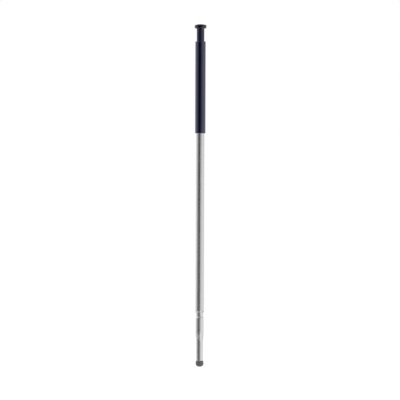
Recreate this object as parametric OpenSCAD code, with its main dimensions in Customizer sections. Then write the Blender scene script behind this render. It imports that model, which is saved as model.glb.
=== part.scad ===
// Slim stylus pen that parks in a handset: a conductive rubber nib, a polished steel shaft
// and a lacquered barrel with a spring-loaded push-push button on top.
// The pen stands along +Z, and the tip of its nib is the origin.

/* [Nib] */
// Diameter of the rubber head
nib_d = 2.54; // [2.3:0.02:2.6]
// Height of the rubber head
nib_h = 1.84; // [1.4:0.02:2.4]
// Height of the domed end that touches the screen
nib_dome = 0.8; // [0.5:0.05:0.9]
// Radius of the head's upper edge
nib_edge = 0.25; // [0.1:0.05:0.4]
// Length of the rubber plug inside the tip sleeve
plug_len = 4.5; // [3:0.5:6]
// Diameter of the brass core pin
core_d = 0.6; // [0.4:0.05:0.7]
// Length of the core pin inside the rubber head
core_sink = 0.6; // [0.3:0.05:0.7]
// Length of the core pin above the rubber plug
core_grip = 2; // [1:0.25:3]

/* [Tip sleeve] */
// Diameter of the slim nose above the nib
nose_d = 2.36; // [2.1:0.02:2.46]
// Length of the slim nose
nose_len = 6.08; // [4:0.04:9]
// Wall of the nose around the rubber plug
nose_wall = 0.44; // [0.3:0.02:0.5]
// Length of the swell from the nose to the land
taper_len = 3.5; // [2:0.1:6]
// Length of the land under the catch groove
land_len = 4.15; // [2:0.05:6]
// Step of the land inside the shaft's surface
land_inset = 0.015; // [0:0.005:0.06]
// Length of the sloped flank of the catch groove
flank_len = 0.55; // [0.3:0.05:0.8]
// Length of the catch groove's floor
groove_len = 1.35; // [0.8:0.05:2]
// Width of the ledge that the shaft's end stands on
tube_seat = 0.07; // [0.03:0.005:0.1]
// Length of the spigot inside the shaft
spigot_len = 9; // [5:0.5:14]

/* [Shaft] */
// Outer diameter of the steel shaft
tube_d = 2.78; // [2.5:0.02:3.2]
// Wall of the steel shaft
tube_wall = 0.27; // [0.2:0.01:0.34]
// Length of shaft between the groove and the barrel
tube_show = 57.52; // [40:0.08:80]
// Length over which the shaft's lower end is rolled in
roll_len = 0.6; // [0.2:0.05:1]
// Depth by which the shaft's lower end is rolled in
roll_in = 0.12; // [0.04:0.01:0.14]

/* [Barrel] */
// Length of the lacquered barrel
barrel_len = 29.58; // [26:0.02:45]
// Wall of the barrel around the shaft
barrel_wall = 0.3; // [0.2:0.01:0.6]
// Radius of the barrel's outer edges
barrel_edge = 0.12; // [0.05:0.01:0.15]
// Width of the inner ledge that stops the guide sleeve
guide_ledge = 0.13; // [0.08:0.01:0.2]

/* [Button] */
// Overhang of the button's head past the barrel
head_overhang = 0.23; // [0.1:0.01:0.6]
// Thickness of the button's head
head_t = 1.4; // [1:0.1:2.5]
// Crown of the head's top face
head_crown = 0.27; // [0.05:0.01:0.3]
// Radius of the head's edges
head_edge = 0.2; // [0.05:0.05:0.3]
// Height of the cone under the head
cone_h = 0.25; // [0.2:0.05:0.6]
// Width of the cone past the neck
cone_w = 0.28; // [0.1:0.02:0.4]
// Diameter of the stem's spigot in the head
head_pin_d = 1.5; // [1:0.1:1.8]
// Depth of the stem's spigot in the head
head_pin_sink = 0.6; // [0.3:0.05:0.7]
// Full travel of the button
stroke = 3.9; // [3:0.1:5]
// Travel past the point where the cam can latch
over_travel = 1.2; // [1:0.05:1.5]
// Length of neck inside the barrel at rest
neck_guide = 1.7; // [1:0.1:3]

/* [Click mechanism] */
// Wall of the guide sleeve
guide_wall = 0.175; // [0.12:0.005:0.22]
// Height of the ribs inside the guide sleeve
rib_h = 0.27; // [0.2:0.01:0.35]
// Thickness of the guide sleeve's closed top
guide_top_t = 0.6; // [0.4:0.05:1]
// Length of the slide cam above its teeth
slide_len = 2; // [1.4:0.1:3]
// Wall of the slide cam around the stem
cam_wall = 0.16; // [0.1:0.01:0.2]
// Height of the crown teeth
tooth_h = 0.5; // [0.35:0.05:0.65]
// Flat on the crest of each crown tooth
tooth_flat = 0.04; // [0.02:0.01:0.08]
// Turn of the rotary cam in one press, in degrees
cam_step = 20; // [16:0.5:22]
// Width of the rotary cam's fins
fin_w = 0.36; // [0.28:0.02:0.4]
// Length of the rotary cam's fins
fin_len = 1.6; // [1.2:0.1:2.2]
// Slope of the latching faces, in degrees
latch_slope = 35; // [25:1:40]
// Thickness of the rotary cam's spring flange
flange_t = 0.4; // [0.25:0.05:0.6]
// Diameter of the cam shaft
shaft_d = 0.7; // [0.5:0.05:0.8]
// Depth of the cam shaft in the stem
shaft_sink = 3.5; // [2:0.25:4.5]
// Length of the cam shaft in the spring seat at rest
shaft_reach = 0.8; // [0.5:0.1:1.5]
// Length of the return spring at rest
spring_len = 6.8; // [6:0.1:8.5]
// Diameter of the spring's wire
wire_d = 0.2; // [0.14:0.02:0.24]
// Turns of the return spring
spring_turns = 8; // [6:1:9]
// Height of the pilots that centre the spring
pilot_h = 0.6; // [0.3:0.05:0.9]
// Thickness of the spring seat's flange
seat_t = 0.56; // [0.4:0.02:1]
// Length of the spring seat's spigot in the shaft
seat_spigot = 3; // [2:0.25:5]

/* [Clearances] */
// Radial gap of a pressed or glued fit
fit_gap = 0.02; // [0.01:0.005:0.03]
// Radial gap of a running fit
run_gap = 0.05; // [0.03:0.01:0.07]
// Gap between faces that stop or touch each other
touch_gap = 0.03; // [0.02:0.005:0.05]
// Gap left between parts at the end of their travel
travel_gap = 0.2; // [0.1:0.05:0.4]
// Side gap of a fin or key in its slot, in degrees
turn_gap = 1.5; // [1:0.25:2]

/* [Hidden] */
$fn = 96;

// Steps of a rounded edge, sink of a fused shape in its neighbour, and reach of a cut past a face
arc_steps = 8;
weld = 0.06;
cut_room = 1;

// Chamfer that breaks the turned edges
small_chamfer = 0.08;

// Radii of the shaft, the barrel and the tip
tube_r = tube_d / 2;
tube_bore_r = tube_r - tube_wall;
barrel_bore_r = tube_r + fit_gap;
barrel_r = barrel_bore_r + barrel_wall;
nib_r = nib_d / 2;
nose_r = nose_d / 2;
plug_r = nose_r - nose_wall - fit_gap;
core_r = core_d / 2;
land_r = tube_r - land_inset;
groove_r = tube_bore_r + tube_seat;
spigot_r = tube_bore_r - fit_gap;

// Radii of the button and the click mechanism
neck_r = barrel_bore_r - guide_ledge - run_gap;
head_r = barrel_r + head_overhang;
head_pin_r = head_pin_d / 2;
guide_r = barrel_bore_r - fit_gap;
slot_r = guide_r - guide_wall;
rib_r = slot_r - rib_h;
fin_r = slot_r - run_gap;
hub_r = rib_r - run_gap;
shank_r = hub_r - cam_wall - fit_gap;
shaft_r = shaft_d / 2;
wire_r = wire_d / 2;
spring_r = fin_r - run_gap - wire_r;
pilot_r = spring_r - wire_r - 2 * run_gap;

// Angles of the click mechanism, measured from a fin of the rotary cam at rest
fin_count = 3;
tooth_count = 2 * fin_count;
fin_pitch = 360 / fin_count;
fin_half = asin(fin_w / 2 / rib_r);
slot_back = fin_half + turn_gap;
slot_front = fin_half + turn_gap + cam_step * (stroke - over_travel) / stroke;
notch_at = fin_pitch / 2 + fin_half + turn_gap;
rib_end = fin_pitch - slot_back;

// Heights of the tip and the shaft, from the nib upwards
nose_top = nib_h + nose_len;
taper_top = nose_top + taper_len;
land_top = taper_top + land_len;
flank_top = land_top + flank_len;
tube_low = flank_top + groove_len;
barrel_low = tube_low + tube_show;
barrel_top = barrel_low + barrel_len;

// Heights of the button, which rests fully out
neck_top = barrel_top + stroke + touch_gap;
head_low = neck_top + cone_h;
neck_low = barrel_top - neck_guide;

// Heights of the click mechanism, from its top downwards
guide_top = neck_low - stroke - travel_gap;
guide_roof = guide_top - guide_top_t;
slide_top = guide_roof - touch_gap;
slide_low = slide_top - slide_len;
stem_low = slide_low + slide_len / 2;
tooth_half = hub_r * sin(180 / tooth_count) - tooth_flat / 2;
cam_lift = tooth_h * hub_r * sin(cam_step) / tooth_half + 2 * touch_gap;
rotor_top = slide_low - tooth_h - cam_lift;
rib_low = rotor_top - (stroke - over_travel);
flange_top = rib_low - travel_gap;
flange_low = flange_top - flange_t;
seat_top = flange_low - spring_len;
seat_low = seat_top - seat_t;
tube_top = seat_low;

// Points of an elliptical arc about [x, z], from angle a to angle b
function arc(x, z, rx, rz, a, b) = [
    for (i = [0:arc_steps])
        let (t = a + (b - a) * i / arc_steps) [x + rx * cos(t), z + rz * sin(t)]
];

// Points of a crown that rises from [r, z] to a height on the axis
function crown(r, z, top) = [
    for (i = [1:arc_steps])
        let (t = 1 - i / arc_steps) [r * t, top - (top - z) * t * t]
];

// Points of a smooth swell between two radii, without its end points
function swell(r0, z0, r1, z1) = [
    for (i = [1:arc_steps - 1])
        let (t = i / arc_steps) [r0 + (r1 - r0) * (1 - cos(180 * t)) / 2, z0 + (z1 - z0) * t]
];

// Solid of revolution about the pen's axis
module turned(points) {
    rotate_extrude() polygon(points);
}

// Round bar or hole on the pen's axis, between two heights
module rod(r, low, high) {
    translate([0, 0, low]) cylinder(r = r, h = high - low);
}

// Prism that runs outwards along +X, drawn by its tangential and vertical outline
module radial_prism(outline, from, to) {
    rotate([90, 0, 90]) translate([0, 0, from]) linear_extrude(to - from) polygon(outline);
}

// Bar with the section of a ring's sector, between two radii, two heights and two angles
module sector_bar(r0, r1, low, high, a, b) {
    far = 2 * r1;
    m = (a + b) / 2;
    translate([0, 0, low]) linear_extrude(high - low) difference() {
        intersection() {
            circle(r1);
            polygon([[0, 0], far * [cos(a), sin(a)], far * [cos(m), sin(m)], far * [cos(b), sin(b)]]);
        }
        circle(r0);
    }
}

// Ring of V notches that opens downwards and leaves a crown of teeth
module tooth_notches(low) {
    for (i = [0:tooth_count - 1])
        rotate([0, 0, i * 360 / tooth_count])
            radial_prism([
                [-tooth_half, low - cut_room], [tooth_half, low - cut_room], [tooth_half, low],
                [0, low + tooth_h], [-tooth_half, low]
            ], 0, 2 * hub_r);
}

// Conductive rubber head with the plug that holds it in the tip sleeve
module nib() {
    color("#3b3c3e") difference() {
        turned(concat(
            [[0, 0]],
            arc(0, nib_dome, nib_r, nib_dome, -90 + 90 / arc_steps, 0),
            arc(nib_r - nib_edge, nib_h - nib_edge, nib_edge, nib_edge, 0, 90),
            [[plug_r, nib_h], [plug_r, nib_h + plug_len], [0, nib_h + plug_len]]
        ));
        rod(core_r + fit_gap, nib_h - core_sink, nib_h + plug_len + cut_room);
    }
}

// Brass pin that stiffens the rubber and carries the charge to the metal
module nib_core() {
    color("#b99a55") rod(core_r, nib_h - core_sink, nib_h + plug_len + core_grip);
}

// Steel nose with the catch groove, and the spigot that holds it in the shaft
module tip_sleeve() {
    color("#b9babd") difference() {
        turned(concat(
            [[0, nib_h], [nose_r - small_chamfer, nib_h], [nose_r, nib_h + small_chamfer]],
            [[nose_r, nose_top]],
            swell(nose_r, nose_top, land_r, taper_top),
            [
                [land_r, taper_top], [land_r, land_top], [groove_r, flank_top], [groove_r, tube_low],
                [spigot_r, tube_low], [spigot_r, tube_low + spigot_len - small_chamfer],
                [spigot_r - small_chamfer, tube_low + spigot_len], [0, tube_low + spigot_len]
            ]
        ));
        rod(plug_r + fit_gap, nib_h - cut_room, nib_h + plug_len + touch_gap);
        rod(core_r + fit_gap, nib_h, nib_h + plug_len + core_grip + touch_gap);
    }
}

// Steel tube that makes up most of the pen
module shaft_tube() {
    color("#c3c4c7") turned(concat(
        [[tube_bore_r, tube_low]],
        arc(tube_r - roll_in, tube_low + roll_len, roll_in, roll_len, -90, 0),
        [[tube_r, tube_top - small_chamfer], [tube_r - small_chamfer, tube_top], [tube_bore_r, tube_top]]
    ));
}

// Lacquered barrel with a stepped bore for the shaft, the guide sleeve and the neck
module barrel() {
    mouth_r = neck_r + run_gap;
    round_r = barrel_r - barrel_edge;
    color("#14142b") turned(concat(
        [[barrel_bore_r, barrel_low]],
        arc(round_r, barrel_low + barrel_edge, barrel_edge, barrel_edge, -90, 0),
        arc(round_r, barrel_top - barrel_edge, barrel_edge, barrel_edge, 0, 90),
        [
            [mouth_r + small_chamfer, barrel_top], [mouth_r, barrel_top - small_chamfer],
            [mouth_r, guide_top], [barrel_bore_r, guide_top]
        ]
    ));
}

// Brass plug on top of the shaft that carries the spring and guides the cam shaft
module spring_seat() {
    color("#b99a55") difference() {
        turned([
            [0, seat_low - seat_spigot], [spigot_r - small_chamfer, seat_low - seat_spigot],
            [spigot_r, seat_low - seat_spigot + small_chamfer], [spigot_r, seat_low], [guide_r, seat_low],
            [guide_r, seat_top], [pilot_r, seat_top], [pilot_r, seat_top + pilot_h - small_chamfer],
            [pilot_r - small_chamfer, seat_top + pilot_h], [0, seat_top + pilot_h]
        ]);
        rod(shaft_r + run_gap, seat_low - seat_spigot - cut_room, seat_top + pilot_h + cut_room);
    }
}

// Helix of the return spring, from its seat to the rotary cam's flange
ring_sides = 8;
rings_per_turn = 16;
ring_count = spring_turns * rings_per_turn;
helix_low = seat_top + wire_r + touch_gap / 2;
helix_high = flange_low - wire_r - touch_gap / 2;
helix_pitch = (helix_high - helix_low) / spring_turns;
helix_lean = atan(helix_pitch / (2 * PI * spring_r));
echo(spring_gap = helix_pitch * cos(helix_lean) - wire_d);

// Point q of ring i around the spring's wire
function wire_point(i, q) =
    let (
        a = 360 * i / rings_per_turn,
        p = 360 * q / ring_sides,
        out = spring_r + wire_r * cos(p),
        side = wire_r * sin(p) * sin(helix_lean),
        z = helix_low + (helix_high - helix_low) * i / ring_count + wire_r * sin(p) * cos(helix_lean)
    )
    [out * cos(a) + side * sin(a), out * sin(a) - side * cos(a), z];

// Compression spring that pushes the cams and the button out
module return_spring() {
    points = [for (i = [0:ring_count], q = [0:ring_sides - 1]) wire_point(i, q)];
    walls = [
        for (i = [0:ring_count - 1], q = [0:ring_sides - 1], half = [0, 1])
            let (
                a = i * ring_sides + q,
                b = i * ring_sides + (q + 1) % ring_sides,
                c = a + ring_sides,
                d = b + ring_sides
            )
            half == 0 ? [a, c, b] : [b, c, d]
    ];
    last = ring_count * ring_sides;
    ends = concat(
        [for (q = [1:ring_sides - 2]) [0, q, q + 1]],
        [for (q = [1:ring_sides - 2]) [last, last + q + 1, last + q]]
    );
    color("#a9abaf") polyhedron(points, concat(walls, ends));
}

// Sloped cut under a rib that rises to a radial wall at +X, over the given angle before it
module latch_cut(span, past) {
    rise = slot_r * sin(span) * tan(latch_slope);
    far = slot_r * sin(span) + cut_room;
    low = rib_low - 2 * cut_room;
    radial_prism([
        [past, rib_low + rise + past * tan(latch_slope)],
        [-far, rib_low + rise - far * tan(latch_slope)],
        [-far, low],
        [past, low]
    ], 0, guide_r);
}

// Rib inside the guide sleeve, whose lower end has a closed notch and a slope that leads into the next slot
module guide_rib() {
    difference() {
        sector_bar(rib_r, slot_r + weld, rib_low - cut_room, guide_roof + weld, slot_front, rib_end);
        rotate([0, 0, notch_at]) latch_cut(notch_at - slot_front, 0);
        rotate([0, 0, rib_end]) latch_cut(rib_end - notch_at, weld);
    }
}

// Brass cartridge that houses the cams and the spring, with ribs that end in latching teeth
module guide_sleeve() {
    color("#b08f52") union() {
        difference() {
            rod(guide_r, seat_top, guide_top);
            rod(slot_r, seat_top - cut_room, guide_roof);
            rod(shank_r + run_gap, seat_top, guide_top + cut_room);
        }
        for (i = [0:fin_count - 1]) rotate([0, 0, i * fin_pitch]) guide_rib();
    }
}

// Fin of the rotary cam, with a sloped top that catches under a rib
module rotor_fin() {
    low = rotor_top - fin_len;
    intersection() {
        radial_prism([
            [-fin_w / 2, low], [fin_w / 2, low], [fin_w / 2, rotor_top],
            [-fin_w / 2, rotor_top - fin_w * tan(latch_slope)]
        ], hub_r - weld, slot_r);
        rod(fin_r, low - cut_room, rotor_top + cut_room);
    }
}

// Rotary cam that turns a step at each press and hangs from the ribs when latched
module rotary_cam() {
    crest = rotor_top + tooth_h;
    color("#d9d3c4") difference() {
        union() {
            difference() {
                rod(hub_r, flange_top - weld, crest);
                rotate([0, 0, 180 / tooth_count - cam_step])
                    mirror([0, 0, 1]) tooth_notches(-crest);
            }
            rod(fin_r, flange_low, flange_top);
            rod(pilot_r, flange_low - pilot_h, flange_low + weld);
            for (i = [0:fin_count - 1]) rotate([0, 0, i * fin_pitch]) rotor_fin();
        }
        rod(shaft_r + run_gap, flange_low - pilot_h - cut_room, crest + cut_room);
    }
}

// Slide cam on the stem, with keys that fill the guide's slots and teeth that push the rotary cam
module slide_cam() {
    color("#d9d3c4") difference() {
        union() {
            difference() {
                rod(hub_r, slide_low - tooth_h, slide_top);
                tooth_notches(slide_low - tooth_h);
            }
            for (i = [0:fin_count - 1])
                rotate([0, 0, i * fin_pitch])
                    sector_bar(hub_r - weld, fin_r, slide_low, slide_top,
                        turn_gap - slot_back, slot_front - turn_gap);
        }
        rod(shaft_r + fit_gap, slide_low - tooth_h - cut_room, slide_top + cut_room);
        rod(shank_r + fit_gap, stem_low, slide_top + cut_room);
    }
}

// Steel pin that lines up the stem, both cams and the spring seat
module cam_shaft() {
    color("#a9abaf") rod(shaft_r, seat_top - shaft_reach, stem_low + shaft_sink);
}

// Stem of the button: the dark neck that shows, and the shank pressed into the slide cam
module button_stem() {
    color("#1d1c30") difference() {
        turned([
            [0, stem_low], [shank_r, stem_low], [shank_r, neck_low], [neck_r - small_chamfer, neck_low],
            [neck_r, neck_low + small_chamfer], [neck_r, neck_top], [head_pin_r, neck_top],
            [head_pin_r, head_low + head_pin_sink], [0, head_low + head_pin_sink]
        ]);
        rod(shaft_r + fit_gap, stem_low - cut_room, stem_low + shaft_sink + touch_gap);
    }
}

// Head of the button: a crowned disc with rounded edges on a short cone
module button_head() {
    head_top = head_low + head_t;
    rim_r = head_r - head_edge;
    rim_z = head_top - head_crown - head_edge;
    rim_sweep = 90 - atan(2 * head_crown / rim_r);
    color("#101016") difference() {
        turned(concat(
            [[0, neck_top], [neck_r, neck_top], [neck_r + cone_w, head_low]],
            arc(rim_r, head_low + head_edge, head_edge, head_edge, -90, 0),
            arc(rim_r, rim_z, head_edge, head_edge, 0, rim_sweep),
            crown(rim_r + head_edge * cos(rim_sweep), rim_z + head_edge * sin(rim_sweep), head_top)
        ));
        rod(head_pin_r + fit_gap, neck_top - cut_room, head_low + head_pin_sink + touch_gap);
    }
}

nib();
nib_core();
tip_sleeve();
shaft_tube();
barrel();
spring_seat();
return_spring();
guide_sleeve();
rotary_cam();
slide_cam();
cam_shaft();
button_stem();
button_head();
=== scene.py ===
import math

import bmesh
import bpy
from mathutils import Matrix, Vector


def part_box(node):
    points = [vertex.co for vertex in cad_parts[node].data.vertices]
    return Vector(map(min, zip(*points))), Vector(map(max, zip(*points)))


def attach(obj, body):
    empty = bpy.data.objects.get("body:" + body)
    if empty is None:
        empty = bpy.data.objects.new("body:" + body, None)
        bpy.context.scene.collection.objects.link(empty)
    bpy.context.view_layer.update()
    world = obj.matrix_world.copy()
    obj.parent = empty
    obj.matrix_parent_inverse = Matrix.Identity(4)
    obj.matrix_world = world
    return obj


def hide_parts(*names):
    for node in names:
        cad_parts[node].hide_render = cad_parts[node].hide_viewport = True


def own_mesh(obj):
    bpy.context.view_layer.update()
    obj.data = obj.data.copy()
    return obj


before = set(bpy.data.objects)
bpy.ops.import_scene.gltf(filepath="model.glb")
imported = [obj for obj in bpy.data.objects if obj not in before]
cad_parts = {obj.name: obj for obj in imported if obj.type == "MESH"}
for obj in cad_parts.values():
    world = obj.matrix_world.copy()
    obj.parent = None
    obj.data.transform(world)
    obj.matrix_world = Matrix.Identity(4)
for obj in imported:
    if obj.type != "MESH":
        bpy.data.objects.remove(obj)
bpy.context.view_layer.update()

MM = 0.001

# Camera: the pen fills 342 of the image's 400 pixels, seen square on from a long way off
LENS_MM = 400
SENSOR_MM = 36
CLIP_NEAR_M, CLIP_FAR_M = 0.01, 10
FRAME_WIDTH_MM = 128.65
FRAME_MIDDLE_Z_MM = 53.58
FRAME_SHIFT_X_MM = -0.015
CAMERA_ROLL_DEG = 0.18

# Mesh resolution of turned pieces: segments round the axis, steps of fillets and curves, longest strip along
# the axis, how far from an edge its support rings stand, the shortest stretch that gets them, and the radius
# below which a point is on the axis
SEGMENTS = 128
FILLET_STEPS, CURVE_STEPS = 6, 14
STRIP_MM = 3.0
SUPPORT_MM = 0.03
STRETCH_MM = 4 * SUPPORT_MM
ON_AXIS_MM = 0.001
# Mesh resolution of the spring: sides of its wire and steps of a turn
WIRE_SIDES, WIRE_STEPS = 16, 48
# Map for baking, and the margin of its strips
UV_MAP = "OFBake"
UV_MARGIN = 0.02


def reach(node):
    """Lowest height, highest height and radius of a solid of the frame, in millimetres."""
    low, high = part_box(node)
    return low.z / MM, high.z / MM, high.x / MM


# Heights and radii of the solids, in millimetres
_, PLUG_TOP, NIB_R = reach("nib")
CORE_LOW, CORE_TOP, CORE_R = reach("nib_core")
NIB_TOP, SPIGOT_TOP, LAND_R = reach("tip_sleeve")
TUBE_LOW, TUBE_TOP, TUBE_R = reach("shaft_tube")
BARREL_LOW, BARREL_TOP, BARREL_R = reach("barrel")
SEAT_LOW, PILOT_TOP, _ = reach("spring_seat")
SEAT_TOP, GUIDE_TOP, GUIDE_R = reach("guide_sleeve")
ROTOR_LOW, ROTOR_TOP, _ = reach("rotary_cam")
SLIDER_LOW, SLIDER_TOP, _ = reach("slide_cam")
SPRING_LOW, SPRING_HIGH, SPRING_OUT_R = reach("return_spring")
SHAFT_LOW, SHAFT_TOP, SHAFT_R = reach("cam_shaft")
STEM_LOW, PIN_TOP, NECK_R = reach("button_stem")
NECK_TOP, HEAD_TOP, HEAD_R = reach("button_head")

# Sizes that the boxes don't give, in millimetres
FIT_GAP, TOUCH_GAP, RUN_GAP = 0.02, 0.03, 0.05
EDGE_BREAK, SOFT_EDGE, FINE_EDGE = 0.08, 0.05, 0.02
NIB_DOME, NIB_EDGE = 0.8, 0.25
NOSE_R, NOSE_WALL, NOSE_LEN = 1.18, 0.44, 6.08
TAPER_LEN, LAND_LEN, FLANK_LEN = 3.5, 4.15, 0.55
TUBE_WALL, TUBE_SEAT = 0.27, 0.07
ROLL_LEN, ROLL_IN = 0.6, 0.12
BARREL_EDGE, NECK_GUIDE = 0.12, 1.7
SHANK_R, HEAD_PIN_R = 0.715, 0.75
CONE_H, CONE_W = 0.25, 0.28
HEAD_EDGE, HEAD_CROWN = 0.2, 0.27
WIRE_R = 0.1
SPRING_TURNS = 8

# Sizes that follow from these
PLUG_R = NOSE_R - NOSE_WALL - FIT_GAP
CORE_BORE_R, PLUG_BORE_R = CORE_R + FIT_GAP, PLUG_R + FIT_GAP
CORE_BORE_TOP, PLUG_BORE_TOP = CORE_TOP + TOUCH_GAP, PLUG_TOP + TOUCH_GAP
NOSE_TOP = NIB_TOP + NOSE_LEN
TAPER_TOP = NOSE_TOP + TAPER_LEN
LAND_TOP = TAPER_TOP + LAND_LEN
FLANK_TOP = LAND_TOP + FLANK_LEN
TUBE_BORE_R = TUBE_R - TUBE_WALL
GROOVE_R = TUBE_BORE_R + TUBE_SEAT
SPIGOT_R = TUBE_BORE_R - FIT_GAP
BARREL_BORE_R = GUIDE_R + FIT_GAP
MOUTH_R = NECK_R + RUN_GAP
SHAFT_BORE_R, SHAFT_BORE_TOP = SHAFT_R + FIT_GAP, SHAFT_TOP + TOUCH_GAP
NECK_LOW = BARREL_TOP - NECK_GUIDE
PIN_BORE_R, PIN_BORE_TOP = HEAD_PIN_R + FIT_GAP, PIN_TOP + TOUCH_GAP
HEAD_LOW = NECK_TOP + CONE_H
RIM_R = HEAD_R - HEAD_EDGE
RIM_Z = HEAD_TOP - HEAD_CROWN - HEAD_EDGE
RIM_SWEEP_DEG = 90 - math.degrees(math.atan(2 * HEAD_CROWN / RIM_R))


def lerp(a, b, t):
    """Value at the share t of the way from a to b."""
    return a + (b - a) * t


def sharp(points):
    """Corners without fillets, from points of a curve."""
    return [(r, z, 0) for r, z in points]


def arc(r, z, wide, high, start, end):
    """Points of an elliptical arc about (r, z), between two angles in degrees."""
    turns = [math.radians(lerp(start, end, k / CURVE_STEPS)) for k in range(CURVE_STEPS + 1)]
    return [(r + wide * math.cos(t), z + high * math.sin(t)) for t in turns]


def swell(r0, z0, r1, z1):
    """Points of a smooth swell between two radii."""
    shares = [k / CURVE_STEPS for k in range(CURVE_STEPS + 1)]
    return [(lerp(r0, r1, (1 - math.cos(math.pi * s)) / 2), lerp(z0, z1, s)) for s in shares]


def crowned(r, z, top):
    """Points of a crown that rises from (r, z) to its top on the axis."""
    shares = [1 - k / CURVE_STEPS for k in range(1, CURVE_STEPS + 1)]
    return [(r * s, top - (top - z) * s * s) for s in shares]


def rounded(corners):
    """Profile points in mm: each corner is (radius, height, fillet), and a fillet of 0 stays sharp."""
    points = []
    last = len(corners) - 1
    for i, (r, z, fillet) in enumerate(corners):
        here = Vector((r, z))
        if fillet <= 0 or i in (0, last):
            points.append(here)
            continue
        before = Vector(corners[i - 1][:2]) - here
        after = Vector(corners[i + 1][:2]) - here
        a, b = before.normalized(), after.normalized()
        half = a.angle(b) / 2
        room = min(before.length, after.length) / 2
        back = min(fillet / math.tan(half), room)
        middle = here + (a + b).normalized() * (back / math.cos(half))
        start, end = a * back + here - middle, b * back + here - middle
        for k in range(FILLET_STEPS + 1):
            spoke = start.lerp(end, k / FILLET_STEPS).normalized()
            points.append(middle + spoke * back * math.tan(half))
    return points


def supported(points):
    """Adds rings near the ends of long stretches, so that shading turns only at the edges, and along them."""
    made = [points[0]]
    for a, b in zip(points, points[1:]):
        length = (b - a).length
        if length > STRETCH_MM:
            count = max(1, math.ceil(length / STRIP_MM))
            shares = [SUPPORT_MM / length]
            shares += [k / count for k in range(1, count)]
            shares += [1 - SUPPORT_MM / length]
            made += [a.lerp(b, s) for s in shares]
        made.append(b)
    return made


def link(name, bm):
    """Object in the scene from a finished mesh."""
    bmesh.ops.recalc_face_normals(bm, faces=bm.faces)
    mesh = bpy.data.meshes.new(name)
    bm.to_mesh(mesh)
    bm.free()
    made = bpy.data.objects.new(name, mesh)
    bpy.context.scene.collection.objects.link(made)
    return made


def lathe(name, corners, closed=False):
    """Piece turned about the pen's axis from a profile in mm, with a map that folds its length in strips."""
    points = rounded(corners)
    if closed:
        points.append(points[0].copy())
    points = supported(points)
    lengths = [0.0]
    for a, b in zip(points, points[1:]):
        lengths.append(lengths[-1] + (b - a).length)
    girth = 2 * math.pi * max(p.x for p in points)
    strips = max(1, round(math.sqrt(lengths[-1] / girth)))
    turns = [2 * math.pi * k / SEGMENTS for k in range(SEGMENTS)]
    bm = bmesh.new()
    uv = bm.loops.layers.uv.new(UV_MAP)
    rings = []
    for p in points[: len(points) - closed]:
        on_axis = p.x < ON_AXIS_MM
        spokes = [(0, 0)] if on_axis else [(p.x * math.cos(t), p.x * math.sin(t)) for t in turns]
        rings.append([bm.verts.new((x * MM, y * MM, p.y * MM)) for x, y in spokes])
    if closed:
        rings.append(rings[0])
    for i, (low, high) in enumerate(zip(rings, rings[1:])):
        strip = min(strips - 1, int(strips * (lengths[i] + lengths[i + 1]) / 2 / lengths[-1]))
        along = [min(1.0, max(0.0, strips * lengths[i + k] / lengths[-1] - strip)) for k in (0, 1)]
        for k in range(SEGMENTS):
            corner = [(low, k, 0), (low, k + 1, 0), (high, k + 1, 1), (high, k, 1)]
            if len(low) == 1:
                corner = corner[1:]
            elif len(high) == 1:
                corner = corner[:3]
            face = bm.faces.new([ring[at % len(ring)] for ring, at, _ in corner])
            face.smooth = True
            for loop, (_, at, end) in zip(face.loops, corner):
                u = (strip + lerp(UV_MARGIN, 1 - UV_MARGIN, at / SEGMENTS)) / strips
                loop[uv].uv = (u, lerp(UV_MARGIN, 1 - UV_MARGIN, along[end]))
    return link(name, bm)


def coil(name):
    """Return spring: a round wire on a helix of even pitch between its seat and the cam's flange."""
    steps = SPRING_TURNS * WIRE_STEPS
    low, high = SPRING_LOW + WIRE_R, SPRING_HIGH - WIRE_R
    coil_r = SPRING_OUT_R - WIRE_R
    rise = (high - low) / (2 * math.pi * SPRING_TURNS * coil_r)
    spokes = [2 * math.pi * q / WIRE_SIDES for q in range(WIRE_SIDES)]
    bm = bmesh.new()
    rings = []
    for i in range(steps + 1):
        angle = 2 * math.pi * i / WIRE_STEPS
        out = Vector((math.cos(angle), math.sin(angle), 0))
        up = out.cross(Vector((-math.sin(angle), math.cos(angle), rise)).normalized())
        centre = out * coil_r + Vector((0, 0, lerp(low, high, i / steps)))
        rings.append([
            bm.verts.new((centre + WIRE_R * (out * math.cos(p) + up * math.sin(p))) * MM) for p in spokes
        ])
    for a, b in zip(rings, rings[1:]):
        for q in range(WIRE_SIDES):
            n = (q + 1) % WIRE_SIDES
            bm.faces.new((a[q], a[n], b[n], b[q])).smooth = True
    bm.faces.new(rings[0][::-1])
    bm.faces.new(rings[-1])
    return link(name, bm)


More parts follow.
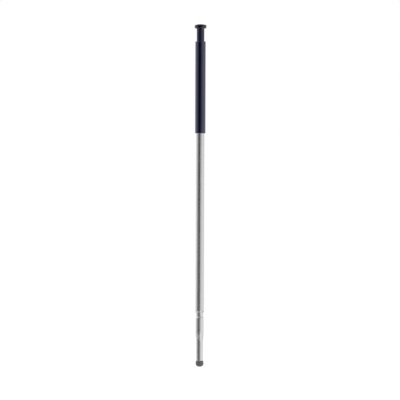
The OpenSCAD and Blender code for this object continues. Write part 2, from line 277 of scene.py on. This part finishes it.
class Tree:
    """Short hand for building a node tree."""

    def __init__(self, owner):
        owner.use_nodes = True
        self.nodes = owner.node_tree.nodes
        self.links = owner.node_tree.links
        self.nodes.clear()

    def add(self, kind, inputs=None, **settings):
        """Node of a kind, with its inputs linked or set."""
        node = self.nodes.new(kind)
        for key, value in settings.items():
            setattr(node, key, value)
        for key, value in (inputs or {}).items():
            self.set(node.inputs[key], value)
        return node

    def set(self, socket, value):
        """Links a socket to another, or sets it to a value."""
        if isinstance(value, bpy.types.NodeSocket):
            self.links.new(value, socket)
        else:
            socket.default_value = value

    def math(self, operation, a, b=0.0):
        return self.add("ShaderNodeMath", {0: a, 1: b}, operation=operation).outputs[0]

    def times(self, value, amount):
        """Value times an amount, which makes a mask weaker."""
        return self.math("MULTIPLY", value, amount)

    def most(self, first, *others):
        """Largest of some values."""
        for other in others:
            first = self.math("MAXIMUM", first, other)
        return first

    def span(self, value, low, high, to_low=0.0, to_high=1.0, smooth=False):
        """Value from low to high, moved to another range."""
        node = self.add(
            "ShaderNodeMapRange",
            {"Value": value, "From Min": low, "From Max": high, "To Min": to_low, "To Max": to_high},
            interpolation_type="SMOOTHSTEP" if smooth else "LINEAR",
        )
        return node.outputs["Result"]

    def noise(self, scale, detail=3.0, rough=0.55, stretch=(1, 1, 1)):
        """Noise whose scale is in features per millimetre along the pen's axes, times the stretch."""
        place = self.add("ShaderNodeTexCoord").outputs["Object"]
        fit = [k / MM for k in stretch]
        vector = self.add("ShaderNodeMapping", {"Vector": place, "Scale": fit}).outputs["Vector"]
        node = self.add(
            "ShaderNodeTexNoise", {"Vector": vector, "Scale": scale, "Detail": detail, "Roughness": rough}
        )
        return node.outputs["Fac"]

    def height(self):
        """Height on the pen in millimetres."""
        place = self.add("ShaderNodeTexCoord").outputs["Object"]
        return self.math("DIVIDE", self.add("ShaderNodeSeparateXYZ", {"Vector": place}).outputs["Z"], MM)

    def blend(self, factor, a, b):
        """Colour a where the factor is 0, and b where it is 1."""
        node = self.add("ShaderNodeMix", data_type="RGBA")
        self.set(node.inputs["Factor"], factor)
        colours = [s for s in node.inputs if s.type == "RGBA"]
        self.set(colours[0], a)
        self.set(colours[1], b)
        return next(s for s in node.outputs if s.type == "RGBA")

    def bump(self, height, strength, depth_mm, below=None):
        """Normal from a height, over another normal if one is given."""
        node = self.add("ShaderNodeBump", {"Height": height, "Strength": strength, "Distance": depth_mm * MM})
        if below is not None:
            self.set(node.inputs["Normal"], below)
        return node.outputs["Normal"]

    def finish(self, **inputs):
        """Surface of the material, with the shader's inputs named with _ for each space."""
        shader = self.add("ShaderNodeBsdfPrincipled")
        for key, value in inputs.items():
            self.set(shader.inputs[key.replace("_", " ")], value)
        self.add("ShaderNodeOutputMaterial", {"Surface": shader.outputs["BSDF"]})


def material(name):
    """New material and its tree."""
    mat = bpy.data.materials.new(name)
    return mat, Tree(mat)


def grey(level, blue=0.0):
    """Grey colour, with some more blue if given."""
    return (level, level, level + blue, 1.0)


def lighter(colour, times):
    """Colour made lighter by a factor."""
    return tuple(min(1.0, times * c) for c in colour[:3]) + (1.0,)


# Colours of the finishes: deep and lit are the ends of their clouding
NAVY_DEEP, NAVY_LIT, NAVY_WORN = (0.042, 0.043, 0.102, 1), (0.054, 0.056, 0.124, 1), grey(0.22, 0.03)
BLACK_DEEP, BLACK_LIT, BLACK_WORN = (0.018, 0.02, 0.034, 1), (0.026, 0.028, 0.044, 1), grey(0.2)
STEM_DEEP, STEM_LIT, STEM_GLOSS = (0.003, 0.003, 0.021, 1), (0.004, 0.004, 0.028, 1), (0.8, 0.8, 1.0, 1.0)
RUBBER_DEEP, RUBBER_LIT, RUBBER_SPECK, RUBBER_TIP = grey(0.074), grey(0.098, 0.001), grey(0.145), grey(0.13)
STEEL_WORN = grey(0.88)
BRASS_DEEP, BRASS_LIT = (0.56, 0.38, 0.13, 1.0), (0.68, 0.49, 0.2, 1.0)
BRASS_STAIN, BRASS_WORN = (0.36, 0.23, 0.09, 1.0), (0.82, 0.64, 0.32, 1.0)
WIRE_DEEP, WIRE_LIT, WIRE_WORN = grey(0.42, 0.01), grey(0.58, 0.012), grey(0.72)
ACETAL_DEEP, ACETAL_LIT = (0.74, 0.7, 0.61, 1.0), (0.82, 0.78, 0.7, 1.0)
ACETAL_GREASE, ACETAL_WORN = (0.6, 0.54, 0.42, 1.0), (0.58, 0.55, 0.5, 1.0)

# Most of a noise lies in this range, and marks are where it passes the ranges below
NOISE = (0.3, 0.7)
PATCHES, SCRATCHES, DUST, FLAKES = (0.38, 0.62), (0.66, 0.74), (0.68, 0.78), (0.55, 0.8)
SLIDES, SPECKS, STAINS, GREASE = (0.6, 0.75), (0.62, 0.72), (0.52, 0.7), (0.55, 0.68)
# Heights between which the nib's tip is polished by use, in millimetres
TIP_POLISH = (0.05, 0.6)


def edge_band(t, heights, width):
    """1 at the given heights and 0 beyond the width, broken up by noise: where an edge is rubbed."""
    z = t.height()
    total = 0.0
    for h in heights:
        off = t.math("ABSOLUTE", t.math("SUBTRACT", z, h))
        total = t.most(total, t.span(off, 0.0, width, 1.0, 0.0, smooth=True))
    patchy = t.span(t.noise(3.5, detail=4.0), *PATCHES)
    return t.times(total, patchy)


def steel_material(name, tone, dull, along, around, worn_edges):
    """Polished steel with drawing lines along the pen, turning lines around it and hairline scratches.

    Its grey is tone, its least roughness dull, and along and around are the strengths of its lines.
    """
    mat, t = material(name)
    cloud = t.noise(0.55, stretch=(1, 1, 0.25))
    drawn = t.noise(1.6, detail=4.0, rough=0.65, stretch=(9, 9, 0.12))
    turned = t.noise(1.0, detail=2.0, stretch=(0.3, 0.3, 14))
    scratch = t.span(t.noise(1.0, detail=2.0, stretch=(16, 16, 0.35)), *SCRATCHES)
    rubbed = edge_band(t, worn_edges, width=0.35)
    base = t.blend(cloud, grey(tone - 0.05, blue=0.018), grey(tone + 0.03, blue=0.01))
    base = t.blend(t.times(drawn, 0.25), base, grey(tone - 0.12, blue=0.01))
    base = t.blend(t.times(rubbed, 0.6), base, STEEL_WORN)
    rough = t.math("ADD", t.span(drawn, *NOISE, dull, dull + 0.09), t.span(cloud, *NOISE, -0.02, 0.03))
    rough = t.math("ADD", rough, t.times(scratch, 0.1))
    rough = t.math("SUBTRACT", rough, t.times(rubbed, 0.06))
    normal = t.bump(drawn, strength=along, depth_mm=0.01)
    normal = t.bump(turned, strength=around, depth_mm=0.01, below=normal)
    normal = t.bump(t.math("SUBTRACT", 1.0, scratch), strength=0.1, depth_mm=0.01, below=normal)
    t.finish(Base_Color=base, Metallic=1.0, Roughness=rough, Normal=normal)
    return mat


def lacquer_material(name, deep, lit, rub_colour, worn_edges):
    """Dark metallic lacquer under a clear coat, with fine flake, orange peel and edges rubbed to metal."""
    mat, t = material(name)
    cloud = t.noise(0.6, stretch=(1, 1, 0.4))
    flake = t.noise(26.0, detail=2.0)
    peel = t.noise(2.4, detail=2.0)
    dust = t.span(t.noise(9.0), *DUST)
    rubbed = edge_band(t, worn_edges, width=0.22)
    base = t.blend(cloud, deep, lit)
    base = t.blend(t.span(flake, *FLAKES, to_high=0.35), base, lighter(lit, 1.7))
    base = t.blend(t.times(rubbed, 0.35), base, rub_colour)
    rough = t.math("ADD", t.span(cloud, *NOISE, 0.08, 0.13), t.times(dust, 0.12))
    rough = t.math("ADD", rough, t.times(rubbed, 0.08))
    normal = t.bump(peel, strength=0.05, depth_mm=0.02)
    normal = t.bump(dust, strength=0.06, depth_mm=0.01, below=normal)
    t.finish(
        Base_Color=base, Metallic=0.98, Roughness=rough, Normal=normal,
        Coat_Weight=1.0, Coat_Roughness=0.05, Coat_IOR=1.5,
    )
    return mat


def plastic_material(name, deep, lit, gloss, worn_edges):
    """Moulded plastic with fine grain and the marks of sliding in the barrel's mouth."""
    mat, t = material(name)
    cloud = t.noise(0.9)
    grain = t.noise(14.0)
    sliding = t.span(t.noise(1.0, detail=2.0, stretch=(14, 14, 0.25)), *SLIDES)
    rubbed = edge_band(t, worn_edges, width=0.2)
    base = t.blend(cloud, deep, lit)
    base = t.blend(t.times(rubbed, 0.3), base, lighter(lit, 2.2))
    rough = t.math("SUBTRACT", t.span(grain, *NOISE, 0.14, 0.2), t.times(sliding, 0.05))
    normal = t.bump(grain, strength=0.08, depth_mm=0.012)
    normal = t.bump(sliding, strength=0.06, depth_mm=0.01, below=normal)
    t.finish(
        Base_Color=base, Roughness=rough, Normal=normal, Specular_IOR_Level=0.85, Specular_Tint=gloss,
    )
    return mat


def rubber_material(name):
    """Dark conductive rubber with fine grain, pale specks and a tip polished by use."""
    mat, t = material(name)
    cloud = t.noise(1.6)
    grain = t.noise(18.0, detail=4.0, rough=0.65)
    speck = t.span(t.noise(30.0, detail=2.0), *SPECKS)
    tip = t.span(t.height(), *TIP_POLISH, 1.0, 0.0, smooth=True)
    base = t.blend(cloud, RUBBER_DEEP, RUBBER_LIT)
    base = t.blend(t.times(speck, 0.4), base, RUBBER_SPECK)
    base = t.blend(t.times(tip, 0.35), base, RUBBER_TIP)
    rough = t.math("SUBTRACT", t.span(grain, *NOISE, 0.33, 0.44), t.times(tip, 0.1))
    normal = t.bump(grain, strength=0.25, depth_mm=0.02)
    t.finish(Base_Color=base, Roughness=rough, Normal=normal, Specular_IOR_Level=1.0)
    return mat


def brass_material(name, worn_edges):
    """Turned brass with fine rings, stains and brightened edges."""
    mat, t = material(name)
    cloud = t.noise(0.8, detail=4.0)
    rings = t.noise(1.0, stretch=(0.4, 0.4, 16))
    stain = t.span(t.noise(1.7, detail=5.0, rough=0.7), *STAINS)
    rubbed = edge_band(t, worn_edges, width=0.25)
    base = t.blend(cloud, BRASS_DEEP, BRASS_LIT)
    base = t.blend(t.times(stain, 0.5), base, BRASS_STAIN)
    base = t.blend(t.times(rubbed, 0.6), base, BRASS_WORN)
    rough = t.math("ADD", t.span(rings, *NOISE, 0.2, 0.34), t.times(stain, 0.15))
    rough = t.math("SUBTRACT", rough, t.times(rubbed, 0.08))
    normal = t.bump(rings, strength=0.15, depth_mm=0.012)
    t.finish(Base_Color=base, Metallic=1.0, Roughness=rough, Normal=normal)
    return mat


def wire_material(name, worn_edges):
    """Bright drawn steel wire with polished ends."""
    mat, t = material(name)
    cloud = t.noise(1.4, detail=4.0)
    lines = t.noise(2.0, stretch=(1, 1, 10))
    rubbed = edge_band(t, worn_edges, width=0.25)
    base = t.blend(cloud, WIRE_DEEP, WIRE_LIT)
    base = t.blend(t.times(rubbed, 0.6), base, WIRE_WORN)
    rough = t.math("SUBTRACT", t.span(lines, *NOISE, 0.2, 0.36), t.times(rubbed, 0.08))
    normal = t.bump(lines, strength=0.1, depth_mm=0.01)
    t.finish(Base_Color=base, Metallic=1.0, Roughness=rough, Normal=normal)
    return mat


def acetal_material(name, worn_edges):
    """Ivory moulded acetal with a film of grease and edges dulled by sliding."""
    mat, t = material(name)
    cloud = t.noise(1.2)
    grain = t.noise(16.0)
    grease = t.span(t.noise(2.6, detail=4.0), *GREASE)
    rubbed = edge_band(t, worn_edges, width=0.3)
    base = t.blend(cloud, ACETAL_DEEP, ACETAL_LIT)
    base = t.blend(t.times(grease, 0.3), base, ACETAL_GREASE)
    base = t.blend(t.times(rubbed, 0.4), base, ACETAL_WORN)
    rough = t.math("SUBTRACT", t.span(grain, *NOISE, 0.4, 0.52), t.times(grease, 0.2))
    rough = t.math("ADD", rough, t.times(rubbed, 0.1))
    normal = t.bump(grain, strength=0.08, depth_mm=0.01)
    t.finish(Base_Color=base, Roughness=rough, Normal=normal, Specular_IOR_Level=0.5)
    return mat


# Materials, each with the heights of the edges that wear
steel_shaft = steel_material(
    "steel_shaft", tone=0.78, dull=0.2, along=0.07, around=0.02, worn_edges=(TUBE_LOW, BARREL_LOW)
)
steel_tip = steel_material(
    "steel_tip", tone=0.84, dull=0.22, along=0.03, around=0.06, worn_edges=(NIB_TOP, LAND_TOP, FLANK_TOP)
)
navy = lacquer_material("navy_lacquer", NAVY_DEEP, NAVY_LIT, NAVY_WORN, (BARREL_LOW, BARREL_TOP))
black = lacquer_material(
    "head_lacquer", BLACK_DEEP, BLACK_LIT, BLACK_WORN, (HEAD_LOW + HEAD_EDGE, RIM_Z + HEAD_EDGE)
)
stem = plastic_material("stem_plastic", STEM_DEEP, STEM_LIT, STEM_GLOSS, (NECK_TOP,))
rubber = rubber_material("nib_rubber")
brass = brass_material("brass", (CORE_LOW, CORE_TOP, SEAT_LOW, SEAT_TOP, PILOT_TOP, GUIDE_TOP))
wire = wire_material("spring_steel", (SHAFT_LOW, SHAFT_TOP, SPRING_LOW, SPRING_HIGH))
acetal = acetal_material("cam_plastic", (ROTOR_LOW, ROTOR_TOP, SLIDER_LOW, SLIDER_TOP))

# Pieces turned about the axis, each in the place of its solid, and the spring
nib = lathe("nib_rubber", [
    *sharp(arc(0, NIB_DOME, NIB_R, NIB_DOME, -90, 0)),
    (NIB_R, NIB_TOP, NIB_EDGE), (PLUG_R, NIB_TOP, 0), (PLUG_R, PLUG_TOP, EDGE_BREAK),
    (CORE_BORE_R, PLUG_TOP, 0), (CORE_BORE_R, CORE_LOW, 0), (0, CORE_LOW, 0),
])
tip = lathe("tip_sleeve_turned", [
    (0, CORE_BORE_TOP, 0), (CORE_BORE_R, CORE_BORE_TOP, 0),
    (CORE_BORE_R, PLUG_BORE_TOP, 0), (PLUG_BORE_R, PLUG_BORE_TOP, 0),
    (PLUG_BORE_R, NIB_TOP, FINE_EDGE), (NOSE_R, NIB_TOP, EDGE_BREAK),
    *sharp(swell(NOSE_R, NOSE_TOP, LAND_R, TAPER_TOP)), (LAND_R, LAND_TOP, SOFT_EDGE),
    (GROOVE_R, FLANK_TOP, SOFT_EDGE), (GROOVE_R, TUBE_LOW, FINE_EDGE), (SPIGOT_R, TUBE_LOW, 0),
    (SPIGOT_R, SPIGOT_TOP, EDGE_BREAK), (0, SPIGOT_TOP, 0),
])
rolled_end = arc(TUBE_R - ROLL_IN, TUBE_LOW + ROLL_LEN, ROLL_IN, ROLL_LEN, -90, 0)
tube = lathe("shaft_tube_drawn", [
    (TUBE_BORE_R, TUBE_LOW, 0), *sharp(rolled_end),
    (TUBE_R, TUBE_TOP, EDGE_BREAK), (TUBE_BORE_R, TUBE_TOP, 0),
], closed=True)
barrel = lathe("barrel_lacquered", [
    (BARREL_BORE_R, BARREL_LOW, 0), (BARREL_R, BARREL_LOW, BARREL_EDGE),
    (BARREL_R, BARREL_TOP, BARREL_EDGE), (MOUTH_R, BARREL_TOP, EDGE_BREAK),
    (MOUTH_R, GUIDE_TOP, 0), (BARREL_BORE_R, GUIDE_TOP, 0),
], closed=True)
neck = lathe("button_stem_moulded", [
    (0, SHAFT_BORE_TOP, 0), (SHAFT_BORE_R, SHAFT_BORE_TOP, 0), (SHAFT_BORE_R, STEM_LOW, 0),
    (SHANK_R, STEM_LOW, SOFT_EDGE), (SHANK_R, NECK_LOW, SOFT_EDGE),
    (NECK_R, NECK_LOW, EDGE_BREAK), (NECK_R, NECK_TOP, FINE_EDGE),
    (HEAD_PIN_R, NECK_TOP, 0), (HEAD_PIN_R, PIN_TOP, SOFT_EDGE), (0, PIN_TOP, 0),
])
rim = arc(RIM_R, RIM_Z, HEAD_EDGE, HEAD_EDGE, 0, RIM_SWEEP_DEG)
head = lathe("button_head_disc", [
    (0, PIN_BORE_TOP, 0), (PIN_BORE_R, PIN_BORE_TOP, 0), (PIN_BORE_R, NECK_TOP, 0),
    (NECK_R, NECK_TOP, FINE_EDGE), (NECK_R + CONE_W, HEAD_LOW, SOFT_EDGE), (HEAD_R, HEAD_LOW, HEAD_EDGE),
    *sharp(rim), *sharp(crowned(*rim[-1], HEAD_TOP)),
])
spring = coil("return_spring_coil")

for piece, body, node, slot, mat in (
    (nib, "pen", "nib", "nib_rubber", rubber),
    (tip, "pen", "tip_sleeve", "polished_steel", steel_tip),
    (tube, "pen", "shaft_tube", "polished_steel", steel_shaft),
    (barrel, "pen", "barrel", "navy_lacquer", navy),
    (neck, "button", "button_stem", "stem_plastic", stem),
    (head, "button", "button_head", "head_lacquer", black),
    (spring, "pen", "return_spring", "spring_steel", wire),
):
    piece.data.materials.append(mat)
    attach(piece, body)
    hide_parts(node)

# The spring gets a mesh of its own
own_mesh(spring)

# Pieces inside the pen keep their solids and get their finish
for node, mat in (
    ("nib_core", brass), ("spring_seat", brass), ("guide_sleeve", brass),
    ("rotary_cam", acetal), ("slide_cam", acetal), ("cam_shaft", wire),
):
    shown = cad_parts[node]
    shown.data.materials.clear()
    shown.data.materials.append(mat)

# Light on the pen, even from all round, at a plain level
PLAIN = 0.9
# Studio that reflections show: a white room whose front left side is dark, as the shaft's reflection shows.
# Each stop is a direction in degrees, 0 at the camera and 90 on the right, with its levels just above the
# horizon, which the barrel mirrors, and just below it, which the tip mirrors.
STUDIO = (
    (-180, 0.7, 0.8), (-145, 0.8, 0.93), (-115, 0.95, 0.83), (-90, 0.95, 0.4),
    (-68, 0.59, 0.02), (-48, 0.25, 0.02), (-32, 0.055, 0.15), (-18, 0.003, 0.09),
    (-6, 0.003, 0.18), (8, 0.08, 0.66), (22, 0.3, 0.92), (40, 0.52, 0.86),
    (64, 0.9, 0.9), (100, 0.7, 0.93), (140, 0.68, 0.83), (180, 0.7, 0.8),
)
# Each pair of heights or depths is where a change in the studio starts and where it is complete, as the sine
# of the angle above the horizon or towards the back
HORIZON_HEIGHTS = (-0.012, 0.012)
OVERHEAD_HEIGHTS, OVERHEAD = (0.3, 0.85), 0.55
UNDER_HEIGHTS, UNDERNEATH, UNDER_SHARE = (-0.4, -0.9), 0.65, 0.7
# Soft dark flags below the horizon, so that the steel shows a line from every side. Their edges are cosines:
# 1 in the middle of a flag and -1 half way to the next.
FLAG_HEIGHTS, FLAG_EDGES = (-0.11, -0.24), (0.1, 0.95)
FLAGS, FLAG_TURN_DEG, FLAG_LIGHT, FLAG_DARK = 3, -20, 0.9, 0.14
# White backdrop behind the pen, under a darker ceiling
BACK_DEPTHS, BACK_FOOT_HEIGHTS, BACK_TOP_HEIGHTS = (0.35, 0.75), (-0.2, -0.07), (0.18, 0.32)
BACK_LIGHT, CEILING_BEHIND = 1.0, 0.1
world = bpy.data.worlds.new("studio")
bpy.context.scene.world = world
w = Tree(world)
way = w.add("ShaderNodeSeparateXYZ", {"Vector": w.add("ShaderNodeTexCoord").outputs["Generated"]})
right, back, up = (way.outputs[axis] for axis in "XYZ")
turn = w.math("ARCTAN2", right, w.times(back, -1.0))


def ring(levels):
    """Light from all round the pen, from the levels at the studio's stops."""
    ramp = w.add("ShaderNodeValToRGB", {"Fac": w.span(turn, -math.pi, math.pi)})
    ramp.color_ramp.interpolation = "EASE"
    stops = ramp.color_ramp.elements
    while len(stops) < len(STUDIO):
        stops.new(position=0.5)
    for stop, (degrees, *_), level in zip(stops, STUDIO, levels):
        stop.position = (degrees + 180) / 360
        stop.color = grey(level)
    return ramp.outputs["Color"]


above, below = (ring([stop[k] for stop in STUDIO]) for k in (1, 2))
studio = w.blend(w.span(up, *HORIZON_HEIGHTS), below, above)
facing = w.times(w.math("SUBTRACT", turn, math.radians(FLAG_TURN_DEG)), FLAGS)
flags = w.span(w.math("COSINE", facing), *FLAG_EDGES, FLAG_LIGHT, FLAG_DARK, smooth=True)
studio = w.blend(w.span(up, *FLAG_HEIGHTS, smooth=True), studio, flags)
studio = w.blend(w.span(up, *OVERHEAD_HEIGHTS, smooth=True), studio, grey(OVERHEAD))
under = w.span(up, *UNDER_HEIGHTS, to_high=UNDER_SHARE, smooth=True)
studio = w.blend(under, studio, grey(UNDERNEATH))
behind = w.times(w.span(back, *BACK_DEPTHS, smooth=True), w.span(up, *BACK_FOOT_HEIGHTS, smooth=True))
backdrop = w.span(up, *BACK_TOP_HEIGHTS, BACK_LIGHT, CEILING_BEHIND, smooth=True)
studio = w.blend(behind, studio, backdrop)
path = w.add("ShaderNodeLightPath").outputs
seen = w.most(path["Is Camera Ray"], path["Is Transmission Ray"])
room = w.blend(path["Is Glossy Ray"], grey(PLAIN), studio)
sky = w.add("ShaderNodeBackground", {"Color": w.blend(seen, room, grey(1.0)), "Strength": 1.0})
w.add("ShaderNodeOutputWorld", {"Surface": sky.outputs["Background"]})

# Floor: pale, white to the camera, with the pen's shadow on it. Its material is white to reflections too, but
# it is hidden from them, because a white floor there washes out the dark line that the steel shows.
FLOOR_R_MM, FLOOR_SINK_MM, FLOOR_SEGMENTS = 600, 0.02, 96
FLOOR_COLOUR, FLOOR_GLOW, FLOOR_SHADE = 0.85, 0.45, 0.58
bm = bmesh.new()
bmesh.ops.create_circle(bm, cap_ends=True, radius=FLOOR_R_MM * MM, segments=FLOOR_SEGMENTS)
floor = link("floor", bm)
floor.location.z = -FLOOR_SINK_MM * MM
pale, f = material("pale_floor")
path = f.add("ShaderNodeLightPath").outputs
seen = f.most(path["Is Camera Ray"], path["Is Glossy Ray"], path["Is Transmission Ray"])
plain = f.add("ShaderNodeBsdfDiffuse", {"Color": grey(FLOOR_COLOUR)})
glow = f.add("ShaderNodeEmission", {"Color": grey(1.0), "Strength": FLOOR_GLOW})
shade = f.add("ShaderNodeBsdfDiffuse", {"Color": grey(FLOOR_SHADE)})
lit = f.add("ShaderNodeAddShader", {0: glow.outputs["Emission"], 1: shade.outputs["BSDF"]})
both = f.add("ShaderNodeMixShader", {0: seen, 1: plain.outputs["BSDF"], 2: lit.outputs["Shader"]})
f.add("ShaderNodeOutputMaterial", {"Surface": both.outputs["Shader"]})
floor.data.materials.append(pale)
floor.visible_glossy = False

# Lamp: one broad soft disk, high behind on the left
LAMP_TURN_DEG, LAMP_RISE_DEG = -112, 40
LAMP_AWAY_M, LAMP_SIZE_M, LAMP_WATTS = 0.9, 0.5, 2.5
middle = Vector((0, 0, FRAME_MIDDLE_Z_MM * MM))
lamp_data = bpy.data.lights.new("soft_key", "AREA")
lamp_data.shape = "DISK"
lamp_data.size = LAMP_SIZE_M
lamp_data.energy = LAMP_WATTS
lamp = bpy.data.objects.new("soft_key", lamp_data)
turned = Matrix.Rotation(math.radians(LAMP_TURN_DEG), 3, "Z")
raised = Matrix.Rotation(-math.radians(LAMP_RISE_DEG), 3, "X")
lamp.location = middle + turned @ raised @ Vector((0, -LAMP_AWAY_M, 0))
lamp.rotation_euler = (middle - lamp.location).to_track_quat("-Z", "Y").to_euler()
bpy.context.scene.collection.objects.link(lamp)

# Camera
camera_data = bpy.data.cameras.new("camera")
camera_data.lens = LENS_MM
camera_data.sensor_width = SENSOR_MM
camera_data.clip_start, camera_data.clip_end = CLIP_NEAR_M, CLIP_FAR_M
camera = bpy.data.objects.new("camera", camera_data)
distance = FRAME_WIDTH_MM * MM * LENS_MM / SENSOR_MM
camera.matrix_world = (
    Matrix.Translation((FRAME_SHIFT_X_MM * MM, -distance, FRAME_MIDDLE_Z_MM * MM))
    @ Matrix.Rotation(math.pi / 2, 4, "X")
    @ Matrix.Rotation(math.radians(CAMERA_ROLL_DEG), 4, "Z")
)
bpy.context.scene.collection.objects.link(camera)
bpy.context.scene.camera = camera

bpy.context.scene.view_settings.view_transform = "Standard"
bpy.context.view_layer.update()
